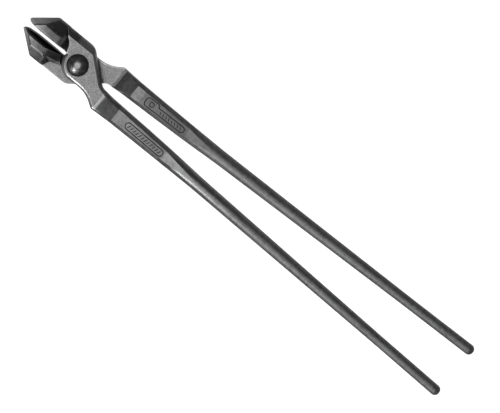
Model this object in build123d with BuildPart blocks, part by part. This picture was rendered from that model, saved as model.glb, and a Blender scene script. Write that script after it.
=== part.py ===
"""Forging tongs: two drop-forged halves of one pattern, turning on a domed rivet.

Millimetres. +X points to the jaws, +Z is the rivet's axis, and the tongs lie in the XY plane.
The origin is on the rivet's axis, at the small flat on the crown of the lower rivet head.
"""
from build123d import *
import math
import os

# ---------------------------------------------------------------- driving dimensions
OVERALL_LENGTH = 500.0
JAW_REACH = 60.0                # rivet axis to the jaw tips

BOSS_THICKNESS = 11.0           # each half's boss, from the mating face outwards
BOSS_RADIUS = 15.0              # round front of the boss, about the rivet
BOSS_EDGE = 3.4                 # rounding of the boss's outer edge
RUNNING_GAP = 0.1               # between the mating faces, and under the upper rivet head

HALF_WIDTH = 21.8               # centre line to the back of a jaw
MOUTH_HALF_GAP = 2.3            # half the gap between the jaws as the tongs lie
JAW_HALF_HEIGHT = 9.8           # jaws reach this far above and below the mating plane
JAW_ROOT_RADIUS = 16.2          # the other half's round boss turns inside this
BEVEL_ROUNDING = 3.0            # inner edge of the bevel along a jaw's front
BEVEL_TOP = JAW_HALF_HEIGHT + 0.1
ROOT_WALL_LEAN = 18.0           # degrees, the round part of the wall at the root's lower side
ROOT_WALL_RUN = (5.0, 3.5)      # lean of its straight part, over the jaw's half height
ROOT_STEP_RUN = 6.0             # run-out of the boss's step down to the jaw, over its thickness
BACK_WALL_HALF = 2.4            # half height of the upright wall behind a jaw
BACK_SLOPE_INNER = 15.8         # where the sloping back of the boss meets its face
BACK_STRIP = (20.5, 5.0)        # the slope steepens here, this far out and up, to a narrow strip

REIN_HALF_THICKNESS = 6.5       # forged flat stretch of the rein
MATING_EDGE = 0.6               # the mating face's edges are left nearly sharp
REIN_ROUND_X = -152.0           # from here on the rein is round
REIN_ROUND_DIAMETER = 13.8
REIN_TAPER_LENGTH = 108.0       # first taper of the round stretch
REIN_TAPERED_DIAMETER = 11.8
REIN_END_DIAMETER = 10.0
REIN_END_ROUNDING = 4.6
REIN_PARALLEL_LENGTH = 70.0     # last stretch, a plain cylinder
REIN_END_OFFSET = 24.2          # centre line to the middle of the rein's end
REIN_SPLAY = 1.67               # degrees, each round stretch away from the centre line

PANEL_GROOVE_WIDTH = 1.0        # groove around each of the rein's panels
PANEL_GROOVE_DEPTH = 0.5        # the groove's and the hatching's
HATCH_PITCH = 3.2               # plain leaning cuts along a panel
HATCH_WIDTH = 0.9
HATCH_LEAN = 65.0               # degrees, from the panel's length

RIVET_DIAMETER = 12.0
RIVET_CLEARANCE = 0.05          # radial, in the half that turns
RIVET_HEAD_DIAMETER = 20.0
RIVET_HEAD_HEIGHT = 4.6
RIVET_RIM_HEIGHT = 0.7          # short upright rim under the dome
RIVET_CROWN_FLAT = 2.4          # diameter of the small flat on each crown
DOME_RADIUS = 13.0              # rounding of each rivet head

REIN_END_X = JAW_REACH - OVERALL_LENGTH
GRIP = 2 * BOSS_THICKNESS + 2 * RUNNING_GAP
LOWER_MATING_Z = RIVET_HEAD_HEIGHT + BOSS_THICKNESS
UPPER_MATING_Z = LOWER_MATING_Z + RUNNING_GAP

# ---------------------------------------------------------------- boss plate
# Each piece of the forging is drawn for the half whose jaw is on the -Y side and whose boss
# is above the mating plane, z = 0.
CREASE_X = -35.0                # the boss face ends here and slopes down to the rein
SHOULDER_Y = 23.3
THROAT_Y = 2.9
back_corner = (-1.6, -HALF_WIDTH)
throat = (-30.2, THROAT_Y)
shoulder = (-33.0, SHOULDER_Y)
waist = (-20.8, BOSS_RADIUS)

with BuildPart() as boss_plate:
    with BuildSketch():
        with BuildLine():
            front = CenterArc((0, 0), BOSS_RADIUS, 90, -110)
            end, heading = front @ 1, front % 1
            back_start_x = end.X - (HALF_WIDTH + end.Y) * heading.X / heading.Y
            Polyline(
                end,
                (back_start_x, -HALF_WIDTH),
                back_corner,
                throat,
                (CREASE_X, THROAT_Y),
                (CREASE_X, SHOULDER_Y),
                shoulder,
                waist,
                front @ 0,
            )
        make_face()
        for corner, radius in ((back_corner, 12.0), (throat, 11.0), (shoulder, 3.5), (waist, 30.0)):
            fillet(vertices().sort_by_distance(corner)[0], radius)
    extrude(amount=BOSS_THICKNESS)
    outline_edges = [
        edge
        for edge in edges().group_by(Axis.Z)[-1]
        if edge.center().X > CREASE_X + 0.1 and edge.center().Y > 0.01 - HALF_WIDTH
    ]
    fillet(outline_edges, BOSS_EDGE)

# ---------------------------------------------------------------- jaw
tip = (JAW_REACH + 1.1, -4.8)        # its rounding takes off the last 1.1 mm
front_corner = (40.1, -HALF_WIDTH)
# edge of the boss's face beside the jaw, and foot of the wall on the jaw's lower side
jaw_step = [(16.6, -8.0), (18.8, -11.8), (23.0, -15.2), (26.0, -HALF_WIDTH)]
root_wall = [(12.0, -10.9), (16.4, -12.4), *jaw_step[2:], (26.0, -30.0)]

# corners of the cross-section that the forging rounds, as y and z
upper_ridge = (-9.5, JAW_HALF_HEIGHT)
lower_ridge = (-12.6, -JAW_HALF_HEIGHT)
upper_back = (-BACK_STRIP[0], BACK_STRIP[1])
lower_back = (-BACK_STRIP[0], -BACK_STRIP[1])
mouth_bevel = (-6.2, -JAW_HALF_HEIGHT)
# inner edges of the front's bevels, as distance from the front edge and height
upper_bevel_top = (5.8, BEVEL_TOP)
lower_bevel_top = (3.8, -BEVEL_TOP)
section_roundings = [
    (upper_ridge, 4.0),
    (lower_ridge, 4.0),
    (upper_back, 1.8),
    (lower_back, 1.8),
    (mouth_bevel, 1.5),
]

with BuildPart() as jaw:
    # cross-section: a land beside the mouth, then a slope down to the upright back wall
    with BuildSketch(Plane.YZ.offset(5)):
        with BuildLine():
            Polyline(
                (-MOUTH_HALF_GAP, 9.0),
                (-MOUTH_HALF_GAP - 0.8, JAW_HALF_HEIGHT),
                upper_ridge,
                upper_back,
                (-HALF_WIDTH, BACK_WALL_HALF),
                (-HALF_WIDTH, -BACK_WALL_HALF),
                lower_back,
                lower_ridge,
                mouth_bevel,
                (-MOUTH_HALF_GAP, -3.0),
                close=True,
            )
        make_face()
        for corner, radius in section_roundings:
            fillet(vertices().sort_by_distance(corner)[0], radius)
    extrude(amount=JAW_REACH)
    # side view: low beside the boss, rising to the full height, then falling to the tip
    with BuildSketch(Plane.XZ):
        with BuildLine():
            upper = FilletPolyline(
                (5, 5.6), (19, 5.8), (26.5, JAW_HALF_HEIGHT), (52, JAW_HALF_HEIGHT), (61, 7.4),
                radius=(6.0, 10.0, 14.0),
            )
            lower = FilletPolyline(
                (61, -7.4), (52, -JAW_HALF_HEIGHT), (30, -JAW_HALF_HEIGHT), (17, -4.0), (5, -2.6),
                radius=(14.0, 16.0, 12.0),
            )
            Line(upper @ 1, lower @ 0)
            Line(lower @ 1, upper @ 0)
        make_face()
    extrude(amount=40, both=True, mode=Mode.INTERSECT)
    # plan: straight mouth, flared near the tip, and an oblique front edge
    with BuildSketch():
        with BuildLine():
            Polyline(
                (8, -MOUTH_HALF_GAP),
                (46, -MOUTH_HALF_GAP),
                (56.5, -3.1),
                tip,
                front_corner,
                (8, -HALF_WIDTH),
                close=True,
            )
        make_face()
        fillet(vertices().sort_by_distance(tip)[0], 1.2)
        fillet(vertices().sort_by_distance(front_corner)[0], 3.5)
    extrude(amount=20, both=True, mode=Mode.INTERSECT)
    # the front edge is bevelled, wide above and narrow below, and rounds into the lands
    run = Vector(*front_corner) - Vector(*tip)
    inward = run.rotate(Axis.Z, -90).normalized()
    with BuildSketch(Plane(origin=tip, x_dir=inward, z_dir=-run)):
        with BuildLine():
            Polyline(
                (0, BACK_WALL_HALF),
                upper_bevel_top,
                (60, BEVEL_TOP),
                (60, -BEVEL_TOP),
                lower_bevel_top,
                (0, -BACK_WALL_HALF),
                close=True,
            )
        make_face()
        for corner in (upper_bevel_top, lower_bevel_top):
            fillet(vertices().sort_by_distance(corner)[0], BEVEL_ROUNDING)
    extrude(amount=60, both=True, mode=Mode.INTERSECT)
    # below the mating plane the jaw starts clear of the other half's round boss, at a leaning wall
    with BuildSketch():
        Circle(JAW_ROOT_RADIUS)
    extrude(amount=-JAW_HALF_HEIGHT, taper=-ROOT_WALL_LEAN, mode=Mode.SUBTRACT)
    for depth, run_x, run_y in ((0, 0, 0), (JAW_HALF_HEIGHT, *ROOT_WALL_RUN)):
        with BuildSketch(Plane.XY.offset(-depth)):
            with BuildLine():
                Polyline(
                    (0, 0),
                    *[(x + run_x, y + run_y) for x, y in root_wall],
                    (0, -30),
                    close=True,
                )
            make_face()
    loft(ruled=True, mode=Mode.SUBTRACT)

# ---------------------------------------------------------------- rein
# Stations of the flat stretch: x, inner and outer y, lower and upper z, lower and upper edge size.
# Edges are rounded as far as the slope's end and bevelled after it.
SLOPE_END_X = -50.0
flat_stations = [
    (CREASE_X, THROAT_Y, SHOULDER_Y, 0.0, BOSS_THICKNESS, MATING_EDGE, BOSS_EDGE),
    (-37.5, 3.2, 23.2, -0.4, 10.7, MATING_EDGE, BOSS_EDGE),
    (-43.0, 3.9, 23.1, -2.8, 9.4, 1.6, 3.3),
    (-54.0, 4.6, 22.95, -REIN_HALF_THICKNESS, REIN_HALF_THICKNESS, 3.2, 3.2),
    (-82.0, 5.6, 22.65, -REIN_HALF_THICKNESS, REIN_HALF_THICKNESS, 3.2, 3.2),
    (-113.0, 6.9, 22.45, -REIN_HALF_THICKNESS, REIN_HALF_THICKNESS, 3.4, 3.4),
]
round_length = (REIN_ROUND_X - REIN_END_X) / math.cos(math.radians(REIN_SPLAY))
round_start = (
    REIN_ROUND_X,
    REIN_END_OFFSET - (REIN_ROUND_X - REIN_END_X) * math.tan(math.radians(REIN_SPLAY)),
    0,
)
rein_axis = Vector(-1, 0, 0).rotate(Axis.Z, -REIN_SPLAY)

with BuildPart() as rein:
    for x, inner, outer, low, high, low_edge, high_edge in flat_stations:
        middle = (x, (inner + outer) / 2, (low + high) / 2)
        with BuildSketch(Plane(origin=middle, x_dir=(0, 1, 0), z_dir=(1, 0, 0))):
            Rectangle(outer - inner, high - low)
            soften = fillet if x > SLOPE_END_X else chamfer
            soften(vertices().group_by(Axis.Y)[0], low_edge)
            soften(vertices().group_by(Axis.Y)[-1], high_edge)
    with BuildSketch(Plane(origin=round_start, x_dir=(0, 1, 0), z_dir=-rein_axis)):
        RectangleRounded(REIN_ROUND_DIAMETER, REIN_ROUND_DIAMETER, REIN_ROUND_DIAMETER / 2 - 0.05)
    loft(ruled=True)
    with BuildSketch(Plane(origin=round_start, x_dir=rein_axis, z_dir=(0, 0, 1))):
        with BuildLine():
            Polyline(
                (0, 0),
                (0, REIN_ROUND_DIAMETER / 2),
                (REIN_TAPER_LENGTH, REIN_TAPERED_DIAMETER / 2),
                (round_length - REIN_PARALLEL_LENGTH, REIN_END_DIAMETER / 2),
                (round_length, REIN_END_DIAMETER / 2),
                (round_length, 0),
                close=True,
            )
        make_face()
        fillet(vertices().sort_by_distance((round_length, REIN_END_DIAMETER / 2))[0], REIN_END_ROUNDING)
    revolve(axis=Axis(round_start, rein_axis))

# ---------------------------------------------------------------- panels on the reins
# A long panel on the boss side, and a panel with a wide rounded head on the mating side. They
# carry a plain hatch and a ring, and no lettering.
panel_slope = 1.2               # degrees, the panels follow the rein's middle line
long_panel_size = (44.0, 7.4)
long_panel_middle = (-88.2, 14.6)
head_panel_size = (14.5, 9.6)
head_panel_middle = (-74.0, 14.3)
tail_panel_size = (38.0, 6.6)
tail_panel_middle = (-92.8, 13.4)
tail_hatch_middle = (-96.0, 13.3)
long_hatch_cuts, long_hatch_length = 12, 3.9
tail_hatch_cuts, tail_hatch_length = 8, 3.2
ring_radius = 2.7


def long_panel(inset):
    """Outline of the boss side's panel, with its edge moved in by `inset`."""
    with BuildSketch(mode=Mode.PRIVATE) as outline:
        with Locations(Location(long_panel_middle, -panel_slope)):
            SlotOverall(long_panel_size[0] - 2 * inset, long_panel_size[1] - 2 * inset)
    return outline.sketch


def headed_panel(inset):
    """Outline of the mating side's panel, with its edge moved in by `inset`."""
    with BuildSketch(mode=Mode.PRIVATE) as outline:
        with Locations(Location(head_panel_middle, -panel_slope)):
            RectangleRounded(head_panel_size[0] - 2 * inset, head_panel_size[1] - 2 * inset, 3.0 - inset)
        with Locations(Location(tail_panel_middle, -panel_slope)):
            SlotOverall(tail_panel_size[0] - 2 * inset, tail_panel_size[1] - 2 * inset)
    return outline.sketch


def hatching(middle, count, length):
    """A row of `count` short leaning cuts along a panel."""
    with BuildSketch(mode=Mode.PRIVATE) as cuts:
        with Locations(Location(middle, -panel_slope)):
            with GridLocations(HATCH_PITCH, 0, count, 1):
                SlotOverall(length, HATCH_WIDTH, rotation=HATCH_LEAN)
    return cuts.sketch


# ---------------------------------------------------------------- one whole forging
mouth_end_x = math.sqrt(BOSS_RADIUS**2 - MOUTH_HALF_GAP**2)

with BuildPart() as forging:
    add(boss_plate.part)
    # the corner of the boss that carries the jaw, with its step leaning towards the jaw
    for height, run_out in ((0, ROOT_STEP_RUN), (BOSS_THICKNESS, 0)):
        with BuildSketch(Plane.XY.offset(height)):
            with BuildLine():
                Polyline(
                    (6, -MOUTH_HALF_GAP),
                    (mouth_end_x + run_out, -MOUTH_HALF_GAP),
                    *[(x + run_out, y) for x, y in jaw_step],
                    (6, -HALF_WIDTH),
                    close=True,
                )
            make_face()
    loft(ruled=True)
    # sloping back of the boss
    with BuildSketch(Plane.YZ.offset(-12)):
        with BuildLine():
            Polyline(
                (-BACK_SLOPE_INNER, BOSS_THICKNESS),
                upper_back,
                (-HALF_WIDTH, BACK_WALL_HALF),
                (-HALF_WIDTH - 5, BACK_WALL_HALF),
                (-HALF_WIDTH - 5, BOSS_THICKNESS + 5),
                (-BACK_SLOPE_INNER, BOSS_THICKNESS + 5),
                close=True,
            )
        make_face()
    extrude(amount=46, mode=Mode.SUBTRACT)
    add(jaw.part)
    add(rein.part)
    # each panel is a groove around a field with plain cut marks
    for side, panel in ((1, long_panel), (-1, headed_panel)):
        with BuildSketch(Plane.XY.offset(side * REIN_HALF_THICKNESS)):
            add(panel(0))
            add(panel(PANEL_GROOVE_WIDTH), mode=Mode.SUBTRACT)
            if panel is long_panel:
                add(hatching(long_panel_middle, long_hatch_cuts, long_hatch_length))
            else:
                add(hatching(tail_hatch_middle, tail_hatch_cuts, tail_hatch_length))
                with Locations(head_panel_middle):
                    Circle(ring_radius)
                    Circle(ring_radius - HATCH_WIDTH, mode=Mode.SUBTRACT)
        extrude(amount=-side * PANEL_GROOVE_DEPTH, mode=Mode.SUBTRACT)

# ---------------------------------------------------------------- the two halves
with BuildPart() as upper_half:
    with Locations((0, 0, UPPER_MATING_Z)):
        add(forging.part)
    with BuildSketch(Plane.XY.offset(UPPER_MATING_Z)):
        Circle(RIVET_DIAMETER / 2 + RIVET_CLEARANCE)
    extrude(amount=BOSS_THICKNESS, mode=Mode.SUBTRACT)
upper_half.part.label = "upper_half"

with BuildPart() as lower_half:
    with Locations(Location((0, 0, LOWER_MATING_Z), (180, 0, 0))):
        add(forging.part)
    with BuildSketch(Plane.XY.offset(LOWER_MATING_Z)):
        Circle(RIVET_DIAMETER / 2)
    extrude(amount=-BOSS_THICKNESS, mode=Mode.SUBTRACT)
lower_half.part.label = "lower_half"

# ---------------------------------------------------------------- rivet
with BuildPart() as rivet:
    with BuildSketch(Plane.XZ):
        with BuildLine():
            head_radius = RIVET_HEAD_DIAMETER / 2
            flat_radius = RIVET_CROWN_FLAT / 2
            top_z = 2 * RIVET_HEAD_HEIGHT + GRIP
            middle_z = top_z / 2
            dome = RadiusArc(
                (flat_radius, 0), (head_radius, RIVET_HEAD_HEIGHT - RIVET_RIM_HEIGHT), -DOME_RADIUS
            )
            Polyline(
                dome @ 1,
                (head_radius, RIVET_HEAD_HEIGHT),
                (RIVET_DIAMETER / 2, RIVET_HEAD_HEIGHT),
                (RIVET_DIAMETER / 2, middle_z),
                (0, middle_z),
                (0, 0),
                dome @ 0,
            )
        make_face()
    revolve(axis=Axis.Z)
    mirror(about=Plane.XY.offset(middle_z))
rivet.part.label = "rivet"

os.makedirs("parts", exist_ok=True)
for half in (upper_half, lower_half, rivet):
    export_step(half.part, f"parts/{half.part.label}.step")
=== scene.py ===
"""Forging tongs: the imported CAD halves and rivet, with forged-steel finishes, light and camera."""
import math

import bpy
from mathutils import Matrix, Vector


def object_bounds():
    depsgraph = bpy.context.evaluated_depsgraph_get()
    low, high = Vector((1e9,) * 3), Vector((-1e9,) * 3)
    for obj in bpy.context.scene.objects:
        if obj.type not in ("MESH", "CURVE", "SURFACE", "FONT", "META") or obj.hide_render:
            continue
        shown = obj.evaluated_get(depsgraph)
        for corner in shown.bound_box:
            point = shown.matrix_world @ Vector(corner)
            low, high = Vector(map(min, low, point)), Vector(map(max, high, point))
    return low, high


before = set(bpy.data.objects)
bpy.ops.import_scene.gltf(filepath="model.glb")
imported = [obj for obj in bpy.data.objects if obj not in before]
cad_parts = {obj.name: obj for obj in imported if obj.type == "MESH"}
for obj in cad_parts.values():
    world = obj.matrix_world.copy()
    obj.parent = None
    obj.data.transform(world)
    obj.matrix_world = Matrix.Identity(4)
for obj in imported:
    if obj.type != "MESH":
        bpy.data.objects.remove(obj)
cad_low, cad_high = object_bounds()
scene = bpy.context.scene
MM = 0.001
mating_z = (cad_low.z + cad_high.z) / 2    # the halves meet midway up the rivet, to 0.1 mm

# Places on the forgings, in mm: along X, or up and down from mating_z.
CREASE = -36.0                # boss's outer face turns down to the rein
REIN_ROUNDS = -113.0          # end of the rein's flat stretch
PANELS = (-115.0, -63.0)      # the stretch of the rein that carries the panels
JAW_ROOT = 13.0               # the hollow where a jaw leaves its boss
JAW_STARTS = 25.5             # front end of the boss's ground faces
BOSS_OUTER = 11.0             # outer faces of the bosses
PANEL_FLOOR = 6.0             # floors of the panels' cuts


# ---------------------------------------------------------------- node helpers
class Nodes:
    """The node tree of a material or world, with short calls for the nodes that this script uses."""

    def __init__(self, owner, output="ShaderNodeOutputMaterial"):
        owner.use_nodes = True
        self.tree = owner.node_tree
        self.tree.nodes.clear()
        self.output = self.tree.nodes.new(output)

    def surface(self, shader):
        """Let this shader be what the tree shows."""
        self.tree.links.new(shader.outputs[0], self.output.inputs["Surface"])

    def add(self, kind, inputs=None, **settings):
        """A new node; an input is a number or colour, or the socket that feeds it."""
        node = self.tree.nodes.new(kind)
        for key, value in settings.items():
            setattr(node, key, value)
        for key, value in (inputs or {}).items():
            socket = node.inputs[key]
            if isinstance(value, bpy.types.NodeSocket):
                self.tree.links.new(value, socket)
            else:
                socket.default_value = value
        return node

    def math(self, operation, a, b=0.0):
        """One sum on a, or on a and b."""
        return self.add("ShaderNodeMath", {0: a, 1: b}, operation=operation).outputs[0]

    def product(self, *factors):
        """All the factors multiplied, such as masks that must all hold."""
        result = factors[0]
        for factor in factors[1:]:
            result = self.math("MULTIPLY", result, factor)
        return result

    def ramp(self, value, low, high, to_low=0.0, to_high=1.0):
        """Smooth step from to_low below `low` to to_high above `high`."""
        node = self.add(
            "ShaderNodeMapRange",
            {"Value": value, "From Min": low, "From Max": high, "To Min": to_low, "To Max": to_high},
            interpolation_type="SMOOTHSTEP",
        )
        return node.outputs["Result"]

    def noise(self, position, size_mm, detail=3.0, roughness=0.55):
        """Noise whose features are about size_mm across, from 0 to 1."""
        node = self.add(
            "ShaderNodeTexNoise",
            {"Vector": position, "Scale": 1000.0 / size_mm, "Detail": detail, "Roughness": roughness},
        )
        return node.outputs["Fac"]

    def mix(self, factor, a, b):
        """Colour a where factor is 0, and b where it is 1."""
        node = self.add("ShaderNodeMix", {0: factor, 6: a, 7: b}, data_type="RGBA")
        return node.outputs[2]

    def bump(self, height, strength, depth_mm, normal=None):
        """The normal bent by a height from 0 to 1 that is depth_mm deep, on top of `normal`."""
        inputs = {"Height": height, "Strength": strength, "Distance": depth_mm * MM}
        if normal is not None:
            inputs["Normal"] = normal
        return self.add("ShaderNodeBump", inputs).outputs["Normal"]

    def steel(self, colour, metallic, roughness, normal):
        """Let a metal with these finishes be what the material shows."""
        inputs = {"Base Color": colour, "Metallic": metallic, "Roughness": roughness, "Normal": normal}
        self.surface(self.add("ShaderNodeBsdfPrincipled", inputs))


def grey(value, warmth=0.0):
    """Opaque grey, a little warmer or cooler."""
    return (value * (1 + warmth), value, value * (1 - warmth), 1.0)


# ---------------------------------------------------------------- materials
def polished_edge_highlight(n, coords, width_mm):
    """1 on the outer corners, polished by handling and blasting and lightened as a painted highlight,
    0 on the faces.
    """
    depth = n.add("ShaderNodeAmbientOcclusion", {"Distance": width_mm * MM}, samples=12, inside=True)
    # convex corners: real polish, and a painted highlight
    worn_and_highlit = n.ramp(depth.outputs["AO"], 0.70, 0.97, 1.0, 0.0)
    patchy = n.ramp(n.noise(coords, 4.0, detail=4.0), 0.3, 0.6, 0.45, 1.0)
    return n.math("MULTIPLY", worn_and_highlit, patchy)


def forged_steel():
    """Shot-blasted forging: ground boss faces, polished edges, darker blotchy skin elsewhere, with
    painted highlights on edges, ridges and jaw tips and painted shade in corners, panel cuts and jaw
    roots.
    """
    material = bpy.data.materials.new("forged_steel")
    n = Nodes(material)
    coords = n.add("ShaderNodeTexCoord").outputs["Object"]
    normal = n.add("ShaderNodeNewGeometry").outputs["Normal"]
    place = n.add("ShaderNodeSeparateXYZ", {0: coords})
    facing = n.add("ShaderNodeSeparateXYZ", {0: normal})
    upright = n.math("ABSOLUTE", facing.outputs["Z"])
    height = n.math("SUBTRACT", place.outputs["Z"], mating_z)
    from_mating = n.math("ABSOLUTE", height)

    def along(low, high, to_low=0.0, to_high=1.0):
        """Smooth step along X, in mm."""
        return n.ramp(place.outputs["X"], low * MM, high * MM, to_low, to_high)

    def away(low, high, to_low=0.0, to_high=1.0):
        """Smooth step up and down from the mating plane, in mm."""
        return n.ramp(from_mating, low * MM, high * MM, to_low, to_high)

    # ground flats: the boss's outer and mating faces, ahead of the rein and behind the jaw
    boss = n.product(
        along(CREASE - 1.0, CREASE + 1.0), along(JAW_STARTS - 1.5, JAW_STARTS + 1.5, 1.0, 0.0)
    )
    outer_or_mating = n.math(
        "MAXIMUM", away(BOSS_OUTER - 0.4, BOSS_OUTER - 0.2), away(0.2, 0.4, 1.0, 0.0)
    )
    ground = n.product(n.ramp(upright, 0.985, 0.998), boss, outer_or_mating)
    # polished shoulders, where the boss's outer faces turn down, lightened further as a painted
    # highlight
    turning = n.product(n.ramp(upright, 0.66, 0.82), n.ramp(upright, 0.988, 0.997, 1.0, 0.0))
    shoulder_polish_and_highlight = n.product(turning, boss, away(BOSS_OUTER - 3.4, BOSS_OUTER - 2.6))
    # painted highlight on the crease where the boss's outer face turns down to the rein
    crease_highlight = n.product(
        along(CREASE - 1.3, CREASE - 0.2),
        along(CREASE + 1.1, CREASE + 1.8, 1.0, 0.0),
        away(BOSS_OUTER - 1.6, BOSS_OUTER - 1.2),
    )
    # the stretch of the rein that carries the panels gets less edge wear and less painted edge
    # highlight
    panels = n.product(
        along(PANELS[0] - 1.0, PANELS[0] + 1.0), along(PANELS[1] - 1.0, PANELS[1] + 1.0, 1.0, 0.0)
    )
    edges_worn_and_highlit = n.product(polished_edge_highlight(n, coords, 1.3), n.ramp(panels, 0.0, 1.0, 1.0, 0.2))
    # painted highlights on the jaws' broad ridges, strongest near the tips
    ridge_highlight = n.product(polished_edge_highlight(n, coords, 3.0), along(30.0, 54.0))
    edges_worn_and_highlit = n.math("MAXIMUM", edges_worn_and_highlit, ridge_highlight)
    # polish plus painted highlight: edges, shoulders, crease and jaw ridges
    worn_and_highlit = n.math("MAXIMUM", n.math("MAXIMUM", shoulder_polish_and_highlight, crease_highlight), edges_worn_and_highlit)

    blotch = n.noise(coords, 14.0, detail=4.0)
    mottle = n.noise(coords, 3.5, detail=4.0, roughness=0.7)
    speckle = n.noise(coords, 1.1, detail=3.0, roughness=0.8)
    scale_patch = n.ramp(n.noise(coords, 6.0, detail=5.0, roughness=0.65), 0.54, 0.68)

    forged = n.mix(n.ramp(blotch, 0.35, 0.65), grey(0.30), grey(0.40, -0.02))
    forged = n.mix(n.ramp(mottle, 0.35, 0.65), forged, grey(0.46))
    forged = n.mix(n.math("MULTIPLY", scale_patch, 0.45), forged, grey(0.20, 0.02))
    forged = n.mix(n.ramp(speckle, 0.56, 0.74, 0.0, 0.7), forged, grey(0.66))
    forged = n.mix(n.ramp(speckle, 0.28, 0.42, 0.6, 0.0), forged, grey(0.14))
    # painted shade darkens the jaws towards their roots, and a painted highlight lightens their tips
    jaw_root_shade = n.product(along(JAW_ROOT - 2.0, JAW_ROOT + 2.0), along(33.0, 53.0, 0.65, 0.0))
    forged = n.mix(jaw_root_shade, forged, grey(0.05, 0.02))
    forged = n.mix(along(44.0, 56.0, 0.0, 0.6), forged, grey(0.62))
    bright = n.mix(n.ramp(speckle, 0.34, 0.66), grey(0.20), grey(0.56))
    bright = n.mix(n.ramp(mottle, 0.40, 0.62, 0.0, 0.35), bright, grey(0.30))
    colour = n.mix(ground, forged, bright)
    # painted highlight, partly real polish: worn edges, shoulders, crease and jaw ridges turn light
    # grey
    colour = n.mix(worn_and_highlit, colour, grey(0.72))

    # painted shade darkens inside corners and the floors of the panels' cuts
    hollow = n.add("ShaderNodeAmbientOcclusion", {"Distance": 4.0 * MM}, samples=12)
    corner_shade = n.ramp(hollow.outputs["AO"], 0.45, 0.9, 0.9, 0.0)
    panel_floor_shade = n.product(
        away(PANEL_FLOOR - 0.20, PANEL_FLOOR - 0.10),
        away(PANEL_FLOOR + 0.30, PANEL_FLOOR + 0.45, 1.0, 0.0),
        panels,
        n.ramp(upright, 0.90, 0.95),
    )
    painted_shade = n.math("MAXIMUM", corner_shade, panel_floor_shade)
    # painted shade also darkens the hollow roots of the jaws, off the ground faces
    root = n.add("ShaderNodeAmbientOcclusion", {"Distance": 12.0 * MM}, samples=12)
    root_hollow_shade = n.product(
        n.ramp(root.outputs["AO"], 0.55, 0.92, 0.85, 0.0),
        along(JAW_ROOT - 2.0, JAW_ROOT + 2.0),
        n.ramp(ground, 0.0, 1.0, 1.0, 0.0),
    )
    painted_shade = n.math("MAXIMUM", painted_shade, root_hollow_shade)
    # painted shade: corners, panel floors and jaw roots are darkened in colour
    colour = n.mix(painted_shade, colour, grey(0.03, 0.03))

    # the boss's side of each rein is smoother where its flat runs out into the round
    outer_rein = n.ramp(n.math("MULTIPLY", height, place.outputs["Y"]), 0.0, MM**2)
    run_out = n.product(along(-225.0, -120.0), along(REIN_ROUNDS, REIN_ROUNDS + 5.0, 1.0, 0.0))
    smooth = n.product(run_out, outer_rein)

    # the reins are duller than the head
    roughness = n.math("ADD", n.math("MULTIPLY", mottle, 0.14), along(-110.0, -30.0, 0.46, 0.30))
    roughness = n.math("SUBTRACT", roughness, n.math("MULTIPLY", worn_and_highlit, 0.06))
    roughness = n.math("SUBTRACT", roughness, n.math("MULTIPLY", smooth, 0.20))
    hammer = n.noise(coords, 9.0, detail=2.0)
    bump = n.bump(speckle, 0.4, 0.10)
    bump = n.bump(hammer, 0.35, 0.7, bump)
    n.steel(colour, 0.85, roughness, bump)
    return material


def rivet_steel():
    """Hammered rivet head, with painted shade that darkens it towards its rim and leaves its crown
    brighter.
    """
    material = bpy.data.materials.new("rivet_steel")
    n = Nodes(material)
    coords = n.add("ShaderNodeTexCoord").outputs["Object"]
    normal = n.add("ShaderNodeNewGeometry").outputs["Normal"]
    upright = n.math("ABSOLUTE", n.add("ShaderNodeSeparateXYZ", {0: normal}).outputs["Z"])
    blotch = n.noise(coords, 6.0, detail=4.0)
    grain = n.noise(coords, 1.0, detail=4.0, roughness=0.75)
    unshaded_crown = n.ramp(upright, 0.68, 0.93)
    colour = n.mix(n.ramp(blotch, 0.35, 0.65), grey(0.34), grey(0.55))
    colour = n.mix(n.ramp(grain, 0.5, 0.7, 0.0, 0.5), colour, grey(0.20, 0.03))
    # painted shade: the steep rim of the dome is darkened in colour
    colour = n.mix(unshaded_crown, grey(0.07), colour)
    roughness = n.math("ADD", n.math("MULTIPLY", blotch, 0.2), 0.17)
    dents = n.noise(coords, 5.0, detail=2.0)
    bump = n.bump(grain, 0.35, 0.15)
    bump = n.bump(dents, 0.5, 0.6, bump)
    n.steel(colour, 0.9, roughness, bump)
    return material


def floor_white():
    """White that glows a little, so that the table stays an even white."""
    material = bpy.data.materials.new("floor_white")
    n = Nodes(material)
    shader = n.add(
        "ShaderNodeBsdfPrincipled",
        {
            "Base Color": (0.9, 0.9, 0.9, 1.0),
            "Roughness": 0.9,
            "Emission Color": (1.0, 1.0, 1.0, 1.0),
            "Emission Strength": 1.0,
        },
    )
    n.surface(shader)
    return material


def paint(node, material):
    """Give a CAD node this one material."""
    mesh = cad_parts[node].data
    mesh.materials.clear()
    mesh.materials.append(material)


steel = forged_steel()
paint("upper_half", steel)
paint("lower_half", steel)
paint("rivet", rivet_steel())

# ---------------------------------------------------------------- floor
FLOOR_HALF = 6.0          # metres
floor_mesh = bpy.data.meshes.new("floor")
corners = [(-FLOOR_HALF, -FLOOR_HALF, 0), (FLOOR_HALF, -FLOOR_HALF, 0)]
corners += [(FLOOR_HALF, FLOOR_HALF, 0), (-FLOOR_HALF, FLOOR_HALF, 0)]
floor_mesh.from_pydata(corners, [], [(0, 1, 2, 3)])
floor = bpy.data.objects.new("floor", floor_mesh)
floor.location.z = cad_low.z
floor_mesh.materials.append(floor_white())
scene.collection.objects.link(floor)
floor.visible_glossy = False       # the steel mirrors the dark studio, not the bright table


# ---------------------------------------------------------------- light
head = Vector((0, 0, mating_z))


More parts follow.
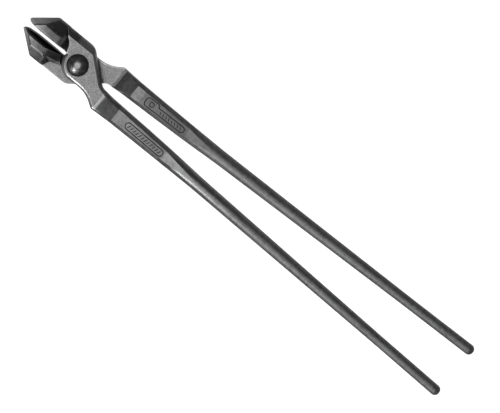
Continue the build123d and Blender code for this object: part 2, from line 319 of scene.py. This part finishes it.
def area_light(name, place, aim, size, power):
    """A soft rectangular light that shines from `place` at `aim`, both in metres from the rivet."""
    lamp = bpy.data.lights.new(name, "AREA")
    lamp.shape = "RECTANGLE"
    lamp.size, lamp.size_y = size
    lamp.energy = power
    place, aim = head + Vector(place), head + Vector(aim)
    holder = bpy.data.objects.new(name, lamp)
    holder.location = place
    holder.rotation_euler = (aim - place).to_track_quat("-Z", "Y").to_euler()
    scene.collection.objects.link(holder)


area_light("overhead", place=(0.08, 0.30, 1.8), aim=(0.08, 0.05, 0), size=(0.9, 1.5), power=5.1)
area_light("key", place=(-0.02, 1.35, 1.25), aim=(-0.02, 0, 0), size=(0.5, 0.7), power=7.0)

# The world is a dim studio, lighter low down on its walls, with a bright table: steep faces
# mirror the table, most of all beyond the jaws.
STUDIO_GLOW = 0.025
WALL_GLOW = 0.10
TABLE_GLOW = 0.40
FRONT_GLOW = 0.45
WALL_RISE = 0.25          # Z of the direction to the walls' lightest band
world = bpy.data.worlds.new("studio")
w = Nodes(world, "ShaderNodeOutputWorld")
direction = w.add("ShaderNodeSeparateXYZ", {0: w.add("ShaderNodeTexCoord").outputs["Generated"]})
rise = direction.outputs["Z"]
table = w.ramp(rise, -0.55, -0.25, TABLE_GLOW, STUDIO_GLOW)
beyond_jaws = w.ramp(direction.outputs["X"], 0.15, 0.60, 0.0, FRONT_GLOW)
front = w.product(beyond_jaws, w.ramp(rise, -0.25, 0.05, 1.0, 0.0))
from_band = w.math("ABSOLUTE", w.math("SUBTRACT", rise, WALL_RISE))
wall = w.ramp(from_band, 0.05, 0.30, WALL_GLOW, STUDIO_GLOW)
glow = w.math("MAXIMUM", w.math("MAXIMUM", table, front), wall)
w.surface(w.add("ShaderNodeBackground", {"Strength": glow}))
scene.world = world
scene.view_settings.view_transform = "Standard"

# ---------------------------------------------------------------- camera
CAMERA_DISTANCE = 2.5                     # metres
CAMERA_TILT = math.radians(7.0)           # from straight overhead
CAMERA_TILT_TOWARDS = math.radians(60.0)  # counter-clockwise from the picture's right
CAMERA_ROLL = math.radians(219.35)        # row +X towards the picture's right, about +Z
CAMERA_LENS = 199.2                       # mm, on a sensor 36 mm wide
CAMERA_AIM = Vector((-0.2004, 0.0015, mating_z))

right = Vector((math.cos(CAMERA_ROLL), math.sin(CAMERA_ROLL), 0))
up = Vector((-math.sin(CAMERA_ROLL), math.cos(CAMERA_ROLL), 0))
lean = math.cos(CAMERA_TILT_TOWARDS) * right + math.sin(CAMERA_TILT_TOWARDS) * up
tilt = Matrix.Rotation(CAMERA_TILT, 3, Vector((0, 0, 1)).cross(lean))
axes = Matrix((tilt @ right, tilt @ up, tilt @ Vector((0, 0, 1)))).transposed()

lens = bpy.data.cameras.new("camera")
lens.lens = CAMERA_LENS
lens.sensor_width = 36.0
lens.clip_start, lens.clip_end = 0.05, 50.0
camera = bpy.data.objects.new("camera", lens)
camera.matrix_world = Matrix.Translation(CAMERA_AIM + axes.col[2] * CAMERA_DISTANCE) @ axes.to_4x4()
scene.collection.objects.link(camera)
scene.camera = camera
